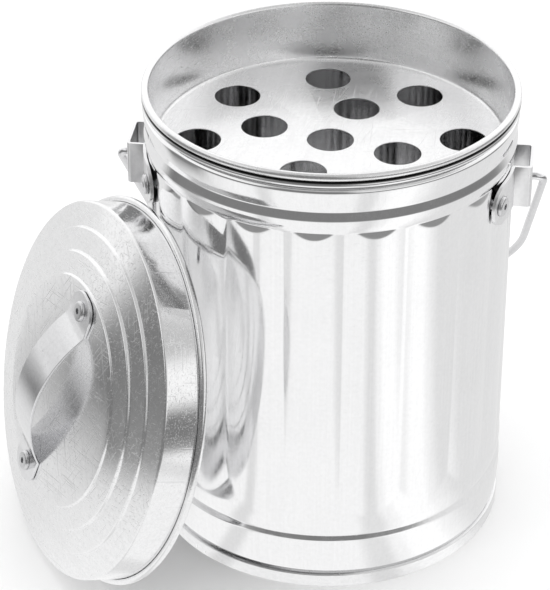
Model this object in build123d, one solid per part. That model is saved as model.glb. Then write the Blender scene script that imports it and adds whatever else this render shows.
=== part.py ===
from build123d import *
import math
import os

os.makedirs("parts", exist_ok=True)

# A small galvanised trash can: a panelled sheet body with two riveted ears and a
# swinging bail, a perforated lift-out tray in its mouth, and its lid, taken off
# and leaning against the body. Millimetres, +Z up. The origin is the centre of
# the foot, and the bail turns about a line parallel to X.

FULL_TURN = 360.0

# Sheet and clearances
sheet = 0.5                  # galvanised sheet of body, pan, tray and lid
strap_sheet = 1.2            # thicker strip of the ears and the lid handle
seat_gap = 0.3               # between curved pieces that only rest on each other
lap_gap = 0.05               # between flat or nested pieces that are fastened together
running_gap = 0.08           # radial play of the bail in its ears

# Rolled edges
rim_radius = 76.2            # outside of the rolled rims of body and tray
curl_tube = 1.2              # outer radius of the body's rolled edge in section
curl_wound = 300.0           # degrees that the sheet of a rolled edge is wound through

# Body
wall_set_in = 1.5            # how far the middles of the panels lie inside the rims
wall_radius = rim_radius - wall_set_in
body_height = 193.5          # to the top of the body's own rolled edge
mouth_neck = 1.5             # plain height under the rolled edge
panel_count = 19             # upright panels that bulge out between narrow creases
crease_depth = 1.24          # under the middle of a panel
crease_phase = -3.6          # degrees from +X to the first crease
core_margin = 0.3            # how far the plain core stays under the creases
eave_sink = 0.55             # valley over the panels, under their middles
bead_proud = 0.9             # crest of the upper bead, over the panels
groove_sink = 0.2            # valley over the upper bead, under the panels
collar_proud = 1.2           # top of the flared collar, over the panels
band_sink = 0.4              # lower edge of the band, under the panels
band_proud = 0.3             # upper edge of the band, over the panels
low_groove_sink = 0.7        # valley over the band, under the panels
swell = 0.35                 # how far the sheet swells out between its edges and valleys
seam_panel = 6               # the panel, counted from the first, that carries the side seam
seam_width = 5.0
seam_proud = 0.7

# Heights of the body's rings, from the foot up
band_bottom = 8.4
band_tall = 15.2
low_groove_tall = 2.8
low_bead_tall = 8.1
crease_run_in = 4.0          # height over which the creases sink in
low_groove_bottom = band_bottom + band_tall
low_bead_bottom = low_groove_bottom + low_groove_tall
panel_low = low_bead_bottom + low_bead_tall
crease_low = panel_low + crease_run_in

# Heights of the body's rings, from the rolled edge down
collar_drop = 4.1            # from the top of the rolled edge to the collar
collar_tall = 9.3
groove_tall = 3.4
bead_tall = 5.9
eave_tall = 4.2              # slope at the top of a panel
crease_run_out = 2.0         # height over which the creases rise again
collar_top = body_height - collar_drop
groove_top = collar_top - collar_tall
bead_top = groove_top - groove_tall
panel_high = bead_top - bead_tall
crease_high = panel_high - crease_run_out

# Bottom pan with the folded foot
foot_proud = 0.1             # foot over the panels
foot_fold = 1.4              # thickness of the folded foot outside the wall
foot_radius = wall_radius + foot_proud
neck_radius = foot_radius - foot_fold    # wall inside the folded foot
foot_height = 6.0
foot_round = 0.9
channel_floor = 1.0          # metal under the edge of the wall
floor_height = 9.6           # top face of the pan's floor
shoulder_round = 0.45        # where the floor turns down into the foot

# Ears
ear_drop = 33.5              # from the top of the rolled edge to the middle of the ears
ear_height = body_height - ear_drop      # also the axis of the bail
ear_tall = 18.0
ear_stand = 7.55             # outer face of the bridge, over the panels
ear_reach = wall_radius + ear_stand
ear_bridge = 20.0            # length of the bridge along the wall
ear_rivet_angle = 20.2       # degrees either side of the ear's middle
ear_end = 6.5                # strap beyond a rivet, along Y
ear_half_length = wall_radius * math.sin(math.radians(ear_rivet_angle)) + ear_end
ear_end_round = 8.6
ear_bend = 1.6               # outer bend radius of the strip
seat_radius = 6.0            # round pressed seat in the wall under a rivet
seat_sink = 0.3              # its face, under the middle of a panel

# Blind rivets and their broken mandrels
rivet_shank = 2.4            # radius
rivet_head = 4.2
rivet_head_tall = 1.5
rivet_head_round = 1.1
rivet_bulb = 3.3             # radius of the end that swells inside the body
rivet_bulb_tall = 2.2
rivet_bulb_round = 1.2
mandrel_pin = 1.25
mandrel_head = 2.0
mandrel_head_tall = 1.6
mandrel_head_round = 0.5
mandrel_recess = 0.5         # how far the broken end lies inside the head

# Bail
wire = 1.6                   # radius
bail_stand = 4.95            # middle of the wire at the corners, beyond the ears
bail_half_width = ear_reach + bail_stand
bail_taper = 6.5             # degrees that each leg leans inwards
bail_depth = 127.0           # from the axis to the top of the arch
bail_top = 16.94             # straight stretch at the top of the arch
bail_corner = 3.6
button_radius = 2.7          # flattened end of the wire inside the ear
button_tall = 1.5
button_round = 0.45

# Tray
tray_depth = 26.1            # from the top of its rolled edge to its floor
tray_tube = 1.6
tray_draft = 1.4             # how much narrower the dish is at its floor
tray_floor_radius = rim_radius - 2 * tray_tube - tray_draft
tray_floor_round = 1.8
tray_hole = 9.5
tray_margin = 8.2            # plain floor outside the outer ring of holes
tray_outer_ring = tray_floor_radius - tray_margin - tray_hole
tray_inner_ring = 29.1
tray_inner_count = 4
tray_outer_count = 8
tray_inner_phase = 74.2      # degrees from +X
tray_outer_phase = 7.2

# Lid
lid_clearance = 0.7          # skirt over the rims
lid_tube = 1.5
lid_skirt = 16.3             # from the middle of the rolled edge to the face
lid_face_round = 1.2
lid_ledges = (10.5, 9.7, 9.5)    # widths of the flat ledges, from the skirt inwards
lid_outside = rim_radius + lid_clearance + sheet
lid_steps = [lid_outside - sum(lid_ledges[:count + 1]) for count in range(len(lid_ledges))]
lid_step_rise = 2.86
lid_step_run = 1.4
lid_step_round = 1.8
lid_lean = 16.0              # degrees that the leaning lid is off upright
lid_azimuth = 212.5          # degrees from +X to the side it leans on

# Lid handle
handle_turn = 11.0           # degrees that its upper end tilts to the lid's right
handle_shift = (-3.6, -0.9)  # its middle is riveted a little off the lid's centre
handle_margin = 7.2          # from a rivet to the innermost step
handle_rivets = lid_steps[-1] - handle_margin    # from its middle to each rivet
handle_width = 18.8
handle_toe = 6.5             # flat leaf between a rivet and the arch
handle_foot = handle_rivets - handle_toe
handle_rise = 12.2           # top of the arch over the lid's face
handle_end = 7.2             # strap beyond a rivet
handle_end_round = 7.5

beyond = 2 * rim_radius      # farther than a cutter has to reach


def polar(radius, degrees, height=0.0):
    angle = math.radians(degrees)
    return Vector(radius * math.cos(angle), radius * math.sin(angle), height)


def turned(edges):
    """Solid of revolution about Z of a closed outline in the XZ plane."""
    return revolve(make_face(edges), Axis.Z, FULL_TURN)


def ring_outline(points):
    """Closed straight outline in the XZ plane from (radius, height) points."""
    return [Polyline(*[(radius, 0, height) for radius, height in points], close=True)]


def curl(radius, height, tube, wound):
    """Open rolled edge: sheet wound from its inner side through the given degrees."""
    def spot(reach, degrees):
        angle = math.radians(degrees)
        return (radius + reach * math.cos(angle), 0, height + reach * math.sin(angle))

    start = FULL_TURN / 2
    middle = start + wound / 2
    end = start + wound
    inner = tube - sheet
    outline = [
        ThreePointArc(spot(tube, start), spot(tube, middle), spot(tube, end)),
        Line(spot(tube, end), spot(inner, end)),
        ThreePointArc(spot(inner, end), spot(inner, middle), spot(inner, start)),
        Line(spot(inner, start), spot(tube, start)),
    ]
    return turned(outline)


def round_rims(solid, radius, is_wanted):
    """Fillet those circular edges of a turned solid that the test picks."""
    rims = solid.edges().filter_by(GeomType.CIRCLE).filter_by(is_wanted)
    return fillet(rims, radius)


def panelled_prism(inset):
    """Prism of bulging panels, whose tops slope in under the bead."""
    middle = wall_radius - inset
    crease = middle - crease_depth
    pitch = FULL_TURN / panel_count
    sides = []
    for index in range(panel_count):
        start = crease_phase + index * pitch
        sides.append(ThreePointArc(
            polar(crease, start), polar(middle, start + pitch / 2), polar(crease, start + pitch)))
    prism = extrude(make_face(sides), panel_high - panel_low, dir=(0, 0, 1))
    eaves = turned(ring_outline([
        (0, panel_low), (middle + lap_gap, panel_low), (middle + lap_gap, panel_high - eave_tall),
        (middle - eave_sink, panel_high), (0, panel_high),
    ]))
    return Pos(0, 0, panel_low) * prism & eaves


def body_core(inset, bottom, top):
    """Plain turned form of the body: foot neck, band, beads, grooves and collar."""
    neck = neck_radius - inset
    panel = wall_radius - inset
    core = panel - crease_depth - core_margin
    mouth = rim_radius - 2 * curl_tube + sheet - inset

    def bulge(start, rise, end):
        middle = ((start[0] + end[0]) / 2 + rise, 0, (start[1] + end[1]) / 2)
        return ThreePointArc((start[0], 0, start[1]), middle, (end[0], 0, end[1]))

    def run(points):
        return Polyline(*[(radius, 0, height) for radius, height in points])

    band_low = (panel - band_sink, band_bottom)
    band_high = (panel + band_proud, low_groove_bottom)
    valley_low = (panel - low_groove_sink, low_bead_bottom)
    panels_low = (panel + lap_gap, panel_low)
    valley_middle = (panel - eave_sink + lap_gap, panel_high)
    crest = (panel + bead_proud, bead_top)
    valley_high = (panel - groove_sink, groove_top)
    collar_high = (panel + collar_proud, collar_top)
    outline = [
        run([(0, bottom), (neck, bottom), (neck, foot_height + lap_gap), band_low]),
        bulge(band_low, swell, band_high),
        run([band_high, valley_low]),
        bulge(valley_low, swell, panels_low),
        run([panels_low, (core, crease_low), (core, crease_high), valley_middle]),
        bulge(valley_middle, swell, crest),
        run([crest, valley_high]),
        bulge(valley_high, swell, collar_high),
        run([collar_high, (mouth, body_height - curl_tube - mouth_neck), (mouth, top),
             (0, top), (0, bottom)]),
    ]
    return turned(outline)


def rivet_plane(radius, degrees):
    """Plane that faces outwards at an ear rivet, at the given distance from the axis."""
    return Plane(origin=polar(radius, degrees, ear_height), z_dir=polar(1, degrees))


def rivet_angles(side):
    return [side - ear_rivet_angle, side + ear_rivet_angle]


def rivet_hole():
    """Cutter along Z that passes the sheet and the strap on it."""
    return Cylinder(rivet_shank + lap_gap, 2 * rivet_head)


def body_form(inset, bottom, top):
    form = body_core(inset, bottom, top) + panelled_prism(inset)
    for side in (0, 180):
        for degrees in rivet_angles(side):
            form += rivet_plane(0, degrees) * Cylinder(
                seat_radius - inset, wall_radius - seat_sink - inset,
                align=(Align.CENTER, Align.CENTER, Align.MIN))
    return form


def make_body_wall():
    edge = channel_floor + lap_gap
    curl_height = body_height - curl_tube
    outer = body_form(0, edge, curl_height)
    inner = body_form(sheet, edge - sheet, curl_height + sheet)
    wall = outer - inner
    wall += curl(rim_radius - curl_tube, curl_height, curl_tube, -curl_wound)
    seam_angle = crease_phase + (seam_panel + 0.5) * FULL_TURN / panel_count
    seam_high = panel_high - eave_tall
    seam = Box(sheet + seam_proud, seam_width, seam_high - crease_low,
               align=(Align.MIN, Align.CENTER, Align.MIN))
    wall += Rot(0, 0, seam_angle) * Pos(wall_radius - sheet, 0, crease_low) * seam
    for side in (0, 180):
        for degrees in rivet_angles(side):
            wall -= rivet_plane(wall_radius, degrees) * rivet_hole()
    return wall


def make_bottom_pan():
    """Floor with a flange that folds round the edge of the wall and makes the foot."""
    wall_inside = neck_radius - sheet - lap_gap
    wall_outside = neck_radius + lap_gap
    leg = wall_inside - sheet
    under = floor_height - sheet
    pan = turned(ring_outline([
        (0, under), (leg, under), (leg, 0), (foot_radius, 0), (foot_radius, foot_height),
        (wall_outside, foot_height), (wall_outside, channel_floor),
        (wall_inside, channel_floor), (wall_inside, floor_height), (0, floor_height),
    ]))
    pan = round_rims(pan, foot_round, lambda rim: rim.radius > foot_radius - lap_gap)
    return round_rims(pan, shoulder_round, lambda rim: (
        rim.radius > wall_inside - lap_gap and rim.center().Z > floor_height - lap_gap))


def make_ear():
    """Ear on the +X side: two curved leaves, two risers and a flat bridge."""
    leaf_inside = wall_radius + lap_gap
    leaf_outside = leaf_inside + strap_sheet
    gap_width = ear_bridge - 2 * strap_sheet

    def bent_block(reach, width, bend):
        block = Pos(reach / 2, 0) * Rectangle(reach, width)
        return fillet(block.vertices().filter_by(lambda spot: spot.X > reach / 2), bend)

    tunnel = bent_block(ear_reach - strap_sheet, gap_width, ear_bend - strap_sheet / 2)
    bridge = bent_block(ear_reach, ear_bridge, ear_bend) - tunnel
    leaves = Circle(leaf_outside) - Circle(leaf_inside)
    leaves &= Pos(beyond / 2, 0) * Rectangle(beyond, beyond)
    leaves -= Rectangle(2 * beyond, gap_width)
    ear = extrude(bridge - Circle(leaf_inside) + leaves, ear_tall / 2, both=True)
    side_view = Rectangle(2 * ear_half_length, ear_tall)
    side_view = Plane.YZ * fillet(side_view.vertices(), ear_end_round)
    ear &= extrude(side_view, beyond, dir=(1, 0, 0))
    ear -= Pos(ear_reach, 0, 0) * Rot(0, 90, 0) * Cylinder(wire + running_gap, ear_bridge / 2)
    ear = Pos(0, 0, ear_height) * ear
    for degrees in rivet_angles(0):
        ear -= rivet_plane(leaf_outside, degrees) * rivet_hole()
    return ear


def make_rivet(grip):
    """Set blind rivet on +Z: head over Z=0, shank through the grip, bulb under it."""
    standing = (Align.CENTER, Align.CENTER, Align.MIN)
    head = Pos(0, 0, lap_gap) * Cylinder(rivet_head, rivet_head_tall - lap_gap, align=standing)
    head = round_rims(head, rivet_head_round, lambda rim: rim.center().Z > rivet_head_tall / 2)
    bulb_base = -grip - lap_gap
    bulb_end = -grip - rivet_bulb_tall
    bulb = Pos(0, 0, bulb_end) * Cylinder(rivet_bulb, bulb_base - bulb_end, align=standing)
    bulb = round_rims(bulb, rivet_bulb_round, lambda rim: rim.center().Z < bulb_base - lap_gap)
    shank = Pos(0, 0, bulb_base) * Cylinder(rivet_shank, lap_gap - bulb_base, align=standing)
    bore = Pos(0, 0, bulb_end) * Cylinder(
        mandrel_pin + lap_gap / 2, rivet_head_tall - bulb_end, align=standing)
    return head + shank + bulb - bore


def make_mandrel(grip):
    """Broken mandrel: pin inside the rivet and its swollen head under the bulb."""
    top = rivet_head_tall - mandrel_recess
    under = -grip - rivet_bulb_tall - lap_gap
    pin = Pos(0, 0, (top + under) / 2) * Cylinder(mandrel_pin, top - under)
    ball = Pos(0, 0, under - mandrel_head_tall / 2) * Cylinder(mandrel_head, mandrel_head_tall)
    ball = fillet(ball.edges().filter_by(GeomType.CIRCLE), mandrel_head_round)
    return pin + ball


def make_bail():
    """Round wire through both ears, at rest on the back of the body."""
    button_face = ear_reach - strap_sheet - lap_gap
    shoulder = bail_half_width - bail_depth * math.tan(math.radians(bail_taper))
    arch_turn = math.radians(FULL_TURN / 4 - bail_taper)
    arch = (shoulder - bail_top / 2) / math.tan(arch_turn / 2)
    route = Plane.XZ * FilletPolyline(
        (button_face, 0), (bail_half_width, 0), (shoulder, -bail_depth),
        (-shoulder, -bail_depth), (-bail_half_width, 0), (-button_face, 0),
        radius=[bail_corner, arch, arch, bail_corner],
    )
    section = Plane(origin=(button_face, 0, 0), z_dir=(1, 0, 0)) * Circle(wire)
    bail = sweep(section, path=route)
    button = Cylinder(button_radius, button_tall)
    button = fillet(button.edges().filter_by(GeomType.CIRCLE), button_round)
    for side in (1, -1):
        bail += Pos(side * (button_face - button_tall / 2), 0, 0) * Rot(0, 90, 0) * button
    back = wall_radius + seat_gap + wire
    hang = math.degrees(math.asin(back / bail_depth))
    return Pos(0, 0, ear_height) * Rot(hang, 0, 0) * bail


def tray_places(height):
    """Middles of the tray's holes: one in the centre and two rings."""
    places = [Vector(0, 0, height)]
    for index in range(tray_inner_count):
        degrees = tray_inner_phase + index * FULL_TURN / tray_inner_count
        places.append(polar(tray_inner_ring, degrees, height))
    for index in range(tray_outer_count):
        degrees = tray_outer_phase + index * FULL_TURN / tray_outer_count
        places.append(polar(tray_outer_ring, degrees, height))
    return places


def make_tray():
    """Perforated dish whose rolled edge rests on the body's rolled edge."""
    top = body_height + seat_gap + 2 * tray_tube
    roll_height = top - tray_tube
    roll_radius = rim_radius - tray_tube
    floor = top - tray_depth
    under = floor - sheet
    lip = roll_radius - tray_tube
    tray = turned(ring_outline([
        (0, under), (tray_floor_radius + sheet, under), (lip + sheet, roll_height),
        (lip, roll_height), (tray_floor_radius, floor), (0, floor),
    ]))
    tray = round_rims(tray, tray_floor_round + sheet,
                      lambda rim: rim.center().Z < under + lap_gap)
    tray = round_rims(tray, tray_floor_round, lambda rim: (
        abs(rim.center().Z - floor) < lap_gap and rim.radius > tray_floor_radius - lap_gap))
    tray += curl(roll_radius, roll_height, tray_tube, -curl_wound)
    for place in tray_places(floor):
        tray -= Pos(place) * Cylinder(tray_hole, 4 * sheet)
    return tray


def lid_place():
    """Place of the leaning lid: its own +Z is the outward side, its rolled edge is at Z=0."""
    lean = math.radians(lid_lean)
    roll = lid_outside - sheet + lid_tube
    stand_off = wall_radius + seat_gap + lid_tube + roll * math.sin(lean)
    middle = polar(stand_off, lid_azimuth, roll * math.cos(lean) + lid_tube)
    outward = polar(math.cos(lean), lid_azimuth, math.sin(lean))
    across = Vector(0, 0, 1).cross(outward).normalized()
    return Plane(origin=middle, x_dir=across, z_dir=outward).location


def lid_top():
    return lid_skirt + lid_step_rise * len(lid_steps)


def make_lid_shell():
    """Stepped lid with a skirt and a rolled edge, in its own place."""
    inside = lid_outside - sheet
    slope = math.atan2(lid_step_rise, lid_step_run)

    def cap(inset):
        """Solid form of the lid, with its surface moved in by the inset."""
        height = lid_skirt - inset
        back = inset * math.tan(slope / 2)
        points = [(lid_outside - inset, 0, -inset), (lid_outside - inset, 0, height)]
        radii = [lid_face_round - inset]
        for radius in lid_steps:
            points.append((radius + lid_step_run / 2 - back, 0, height))
            height += lid_step_rise
            points.append((radius - lid_step_run / 2 - back, 0, height))
            radii += [lid_step_round - sheet + inset, lid_step_round - inset]
        points.append((0, 0, height))
        profile = FilletPolyline(*points, radius=radii)
        closing = Polyline(points[-1], (0, 0, -inset), points[0])
        return turned([profile, closing])

    shell = cap(0) - cap(sheet)
    shell += curl(inside + lid_tube, 0, lid_tube, curl_wound)
    for side in (1, -1):
        shell -= handle_place(lid_top()) * Pos(side * handle_rivets, 0, 0) * rivet_hole()
    return shell


def handle_place(height):
    """Place of the handle, whose own X runs up the leaning lid and tilts to its right."""
    return Pos(*handle_shift, height) * Rot(0, 0, 90 - handle_turn)


def make_lid_handle():
    """Strap handle along its own X: two leaves on the lid and an arch between them."""
    rise = handle_rise - lap_gap
    foot_outer = handle_foot + strap_sheet
    bow = ThreePointArc((-handle_foot, 0), (0, rise - strap_sheet), (handle_foot, 0))
    bow_outer = ThreePointArc((-foot_outer, 0), (0, rise), (foot_outer, 0))
    arch = make_face([bow_outer, Line(bow_outer @ 1, bow @ 1), bow,
                      Line(bow @ 0, bow_outer @ 0)])
    half_length = handle_rivets + handle_end
    leaves = Pos(0, strap_sheet / 2) * Rectangle(2 * half_length, strap_sheet)
    leaves -= make_face([bow, Line(bow @ 1, bow @ 0)])
    strap = extrude(Plane.XZ * (arch + leaves), handle_width / 2, both=True)
    outline = Rectangle(2 * half_length, handle_width)
    strap &= extrude(fillet(outline.vertices(), handle_end_round), handle_rise, both=True)
    for side in (1, -1):
        strap -= Pos(side * handle_rivets, 0, 0) * rivet_hole()
    return handle_place(lid_top() + lap_gap) * strap


def main():
    parts = {
        "body_wall": make_body_wall(),
        "bottom_pan": make_bottom_pan(),
        "bail": make_bail(),
        "tray": make_tray(),
    }
    ear_face = wall_radius + lap_gap + strap_sheet
    ear_grip = ear_face - (wall_radius - seat_sink - sheet)
    for name, side in (("right", 0), ("left", 180)):
        parts[f"ear_{name}"] = Rot(0, 0, side) * make_ear()
        places = ("front", "rear") if side == 0 else ("rear", "front")
        for place, degrees in zip(places, rivet_angles(side)):
            plane = rivet_plane(ear_face, degrees)
            parts[f"ear_rivet_{name}_{place}"] = plane * make_rivet(ear_grip)
            parts[f"ear_mandrel_{name}_{place}"] = plane * make_mandrel(ear_grip)

    lid = lid_place()
    parts["lid_shell"] = lid * make_lid_shell()
    parts["lid_handle"] = lid * make_lid_handle()
    lid_grip = sheet + lap_gap + strap_sheet
    for place, side in (("upper", 1), ("lower", -1)):
        spot = lid * handle_place(lid_top() - sheet + lid_grip) * Pos(
            side * handle_rivets, 0, 0)
        parts[f"lid_rivet_{place}"] = spot * make_rivet(lid_grip)
        parts[f"lid_mandrel_{place}"] = spot * make_mandrel(lid_grip)

    for name, shape in parts.items():
        export_step(shape, f"parts/{name}.step")
    return parts


main()
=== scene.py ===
# %% [markdown]
# # A small galvanised trash can
#
# The real can is made of thin zinc-coated sheet. A panelled body stands on a folded foot, two riveted ears hold a
# wire bail, a perforated tray hangs in the mouth, and the stepped lid has been taken off and leans against the side.
#
# This lesson dresses a finished construction model. Blender works in metres, while sheet metal is drawn in
# millimetres, so each size below is written in millimetres times `mm`.

# %% Load the construction model
import math

import bmesh
import bpy
from mathutils import Matrix, Vector


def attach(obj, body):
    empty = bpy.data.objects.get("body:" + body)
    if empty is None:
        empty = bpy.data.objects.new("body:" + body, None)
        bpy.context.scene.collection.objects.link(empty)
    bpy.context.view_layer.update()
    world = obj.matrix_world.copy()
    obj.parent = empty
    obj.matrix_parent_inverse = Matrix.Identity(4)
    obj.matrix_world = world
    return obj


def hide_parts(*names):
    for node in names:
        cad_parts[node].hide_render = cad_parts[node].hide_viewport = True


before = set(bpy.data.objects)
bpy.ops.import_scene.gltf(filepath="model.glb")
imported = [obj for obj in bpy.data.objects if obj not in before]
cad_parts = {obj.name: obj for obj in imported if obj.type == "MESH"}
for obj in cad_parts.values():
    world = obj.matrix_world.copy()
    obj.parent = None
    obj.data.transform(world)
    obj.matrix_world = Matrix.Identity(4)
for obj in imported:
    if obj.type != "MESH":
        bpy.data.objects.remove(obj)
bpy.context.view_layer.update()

mm = 0.001

# %% [markdown]
# ## The camera
#
# A product picture of a round object hides its viewpoint in the ellipses of its rims. Their height and width give how
# far the camera looks down, and how quickly they shrink towards the foot gives how near it is. A long lens from about
# a metre, 32 degrees above the table, fits this can. It is set from an aim, a distance and two angles, because those
# four can be changed one at a time.

# %% Set the camera
def placed(name, data):
    """New object in the scene."""
    thing = bpy.data.objects.new(name, data)
    bpy.context.scene.collection.objects.link(thing)
    return thing


frame_height = 590             # pixels, the longer side of the picture
focal_length = 2500            # pixels
sensor = 36                    # millimetres on the longer side
aim = Vector((-22.3, -2.8, 96.4)) * mm
distance = 1053.1 * mm
azimuth, elevation = math.radians(7.2), math.radians(32.23)
towards_camera = Vector((
    math.sin(azimuth) * math.cos(elevation),
    -math.cos(azimuth) * math.cos(elevation),
    math.sin(elevation),
))

camera = placed("camera", bpy.data.cameras.new("camera"))
camera.data.sensor_width = sensor
camera.data.lens = focal_length * sensor / frame_height
camera.location = aim + distance * towards_camera
camera.rotation_euler = (math.pi / 2 - elevation, 0, azimuth)
bpy.context.scene.camera = camera
print("camera at", [round(v, 3) for v in camera.location], "lens", round(camera.data.lens, 1), "mm")

# %% [markdown]
# ## Helpers for node trees
#
# Materials and Geometry Nodes are both trees of nodes. Written out, each node takes three or four lines, and the
# formula that the nodes stand for gets lost. The small class below adds a node, feeds its sockets with numbers or
# with other sockets, and gives back its output, so one line of code is one step of the formula.

# %% Wire nodes together
class Wiring:
    """Adds nodes to a tree and joins their sockets."""

    def __init__(self, tree):
        self.tree = tree
        tree.nodes.clear()

    def feed(self, socket, value):
        if isinstance(value, bpy.types.NodeSocket):
            self.tree.links.new(value, socket)
        else:
            socket.default_value = value

    def add(self, kind, inputs=None, **settings):
        node = self.tree.nodes.new(kind)
        for setting, value in settings.items():
            setattr(node, setting, value)
        for socket, value in (inputs or {}).items():
            self.feed(node.inputs[socket], value)
        return node

    def out(self, kind, inputs=None, **settings):
        """First output of a new node."""
        return self.add(kind, inputs, **settings).outputs[0]

    def math(self, operation, *values):
        return self.out("ShaderNodeMath", dict(enumerate(values)), operation=operation)

    def plus(self, *values):
        return self.math("ADD", *values)

    def less(self, *values):
        return self.math("SUBTRACT", *values)

    def times(self, *values):
        return self.math("MULTIPLY", *values)

    def mix(self, share, first, second):
        return self.add("ShaderNodeMix", {0: share, 6: first, 7: second}, data_type="RGBA").outputs[2]

    def remap(self, value, start, end, low, high, ease="LINEAR"):
        inputs = {0: value, 1: start, 2: end, 3: low, 4: high}
        return self.out("ShaderNodeMapRange", inputs, interpolation_type=ease)


# %% Open, close and run a recipe of Geometry Nodes
def open_recipe(name, inputs):
    """New Geometry Nodes tree, with the sockets that it is given."""
    tree = bpy.data.node_groups.new(name, "GeometryNodeTree")
    wires = Wiring(tree)
    tree.interface.new_socket("Geometry", in_out="INPUT", socket_type="NodeSocketGeometry")
    for label, kind in inputs.items():
        tree.interface.new_socket(label, in_out="INPUT", socket_type="NodeSocket" + kind)
    tree.interface.new_socket("Geometry", in_out="OUTPUT", socket_type="NodeSocketGeometry")
    return wires, wires.add("NodeGroupInput").outputs


def close_recipe(wires, geometry, finish):
    """Ends a tree with real geometry that has its finish."""
    real = wires.out("GeometryNodeRealizeInstances", {0: geometry})
    painted = wires.out("GeometryNodeSetMaterial", {"Geometry": real, "Material": finish})
    wires.add("NodeGroupOutput", {0: painted})
    return wires.tree


def cook(recipe, base, values):
    """Runs a recipe on a mesh or curve and gives back a plain mesh."""
    holder = placed(recipe.name, base)
    modifier = holder.modifiers.new(recipe.name, "NODES")
    modifier.node_group = recipe
    for item in recipe.interface.items_tree:
        if item.in_out == "INPUT" and item.name in values:
            modifier[item.identifier] = values[item.name]
    depsgraph = bpy.context.evaluated_depsgraph_get()
    mesh = bpy.data.meshes.new_from_object(
        holder.evaluated_get(depsgraph), preserve_all_data_layers=True, depsgraph=depsgraph)
    holder.modifiers.remove(modifier)
    bpy.data.objects.remove(holder)
    return mesh


# %% [markdown]
# ## Helpers for pieces
#
# Most pieces of a can are turned: an outline of radius and height goes round the axis. An outline has only its
# corners and their bend radii, like a drawing, and a helper puts the arcs in. A finished piece is shaded smooth
# except over its real creases, rides on a body, and stands for the plain nodes that it replaces.

# %% Draw, turn and hand over a piece
def rounded_line(corners, radii, steps=6):
    """Corner points, with each inner corner replaced by an arc of its radius."""
    line = [Vector(corners[0])]
    for before, corner, after, radius in zip(corners, corners[1:], corners[2:], radii):
        corner = Vector(corner)
        back = (Vector(before) - corner).normalized()
        ahead = (Vector(after) - corner).normalized()
        half = back.angle(ahead) / 2
        centre = corner + (back + ahead).normalized() * radius / math.sin(half)
        spoke = corner + back * radius / math.tan(half) - centre
        sweep = math.copysign(math.pi - 2 * half, spoke.cross(-back))
        for step in range(steps + 1):
            line.append(centre + Matrix.Rotation(sweep * step / steps, 2) @ spoke)
    line.append(Vector(corners[-1]))
    return line


def arc(centre, radius, start, end, steps=24):
    """Points of an arc about a centre, from one angle in degrees to another."""
    turns = [math.radians(start + (end - start) * step / steps) for step in range(steps + 1)]
    return [Vector(centre) + radius * Vector((math.cos(turn), math.sin(turn))) for turn in turns]


def turned(outline, turns=240):
    """Closed shell of revolution about Z of a closed loop of (radius, height) points."""
    form = bmesh.new()
    rings = []
    for radius, height in outline:
        spots = 1 if radius < 0.001 * mm else turns
        angles = [2 * math.pi * spot / turns for spot in range(spots)]
        rings.append([form.verts.new((radius * math.cos(a), radius * math.sin(a), height)) for a in angles])
    for near, far in zip(rings, rings[1:] + rings[:1]):
        for spot in range(turns if len(near) + len(far) > 2 else 0):
            beside = (spot + 1) % turns
            corners = [near[spot % len(near)], near[beside % len(near)],
                       far[beside % len(far)], far[spot % len(far)]]
            form.faces.new(list(dict.fromkeys(corners)))
    bmesh.ops.recalc_face_normals(form, faces=form.faces)
    mesh = bpy.data.meshes.new("turned")
    form.to_mesh(mesh)
    form.free()
    return mesh


def hand_over(name, mesh, body, slot, nodes, finish=None, crease=38):
    """Makes the finished piece of a mesh that already lies in its place."""
    mesh.name = name
    piece = placed(name, mesh)
    if finish:
        mesh.materials.clear()
        mesh.materials.append(finish)
    mesh.shade_smooth()
    mesh.set_sharp_from_angle(angle=math.radians(crease))
    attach(piece, body)
    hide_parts(*nodes)
    print(name, "has", len(mesh.polygons), "faces and stands for", len(nodes), "nodes")
    return piece


# %% [markdown]
# ## The zinc
#
# Bright galvanised sheet looks like a soft mirror. Three things keep it from being chrome: the rolling mill leaves
# fine lines along the sheet, the zinc freezes into patches that differ a little in gloss, and handling leaves
# hair-fine scratches. None of them changes the colour much, so they go mostly into roughness and bump, and only a
# little into the colour. Lines and hairs are both noise that is drawn out in one direction.

# %% Draw noise out over the metal
hair_size = (32 * mm, 0.5 * mm, 0.5 * mm)      # length and width of the scratches


def metal_noise(wires, spot, scale, detail, stretch=None, shift=0.0):
    """Noise at a spot, drawn out along the axes whose stretch is small."""
    if stretch:
        spot = wires.out("ShaderNodeMapping", {0: spot, "Scale": stretch, "Location": (shift,) * 3})
    inputs = {"Vector": spot, "Scale": scale, "Detail": detail, "Roughness": 0.55}
    return wires.out("ShaderNodeTexNoise", inputs)


def hair_noise(wires, spot, turn):
    """Noise drawn out into hairs that run in a direction, in degrees about Z."""
    # A texture mapping turns first and then stretches, so the hairs keep to the turned direction
    mapping = {0: spot, "Location": (turn * mm,) * 3, "Rotation": (0, 0, math.radians(turn)), "Scale": hair_size}
    along = wires.out("ShaderNodeMapping", mapping, vector_type="TEXTURE")
    return wires.out("ShaderNodeTexNoise", {"Vector": along, "Scale": 1.0, "Detail": 1.0})


print("scratches are", [round(size / mm, 1) for size in hair_size[:2]], "mm long and wide")

# %% [markdown]
# Shade falls where one sheet lies on another. It is painted in as a thin black line at one height, and only on the
# outside, so a mask of height and distance from the axis paints it. A texture would need a picture for the same line.

# %% Paint a line of shade
# Black of the painted shade in the crevices where sheets meet, not a colour of the zinc
crevice_shade_colour = (0.02, 0.02, 0.02, 1.0)
crevice_shade_starts, crevice_shade_full = 74.4 * mm, 74.8 * mm      # distance from the axis
crevice_shade_cover, crevice_shade_core, crevice_shade_dull = 0.95, 0.4, 0.4  # most cover, share of the reach that is black, added roughness


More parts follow.
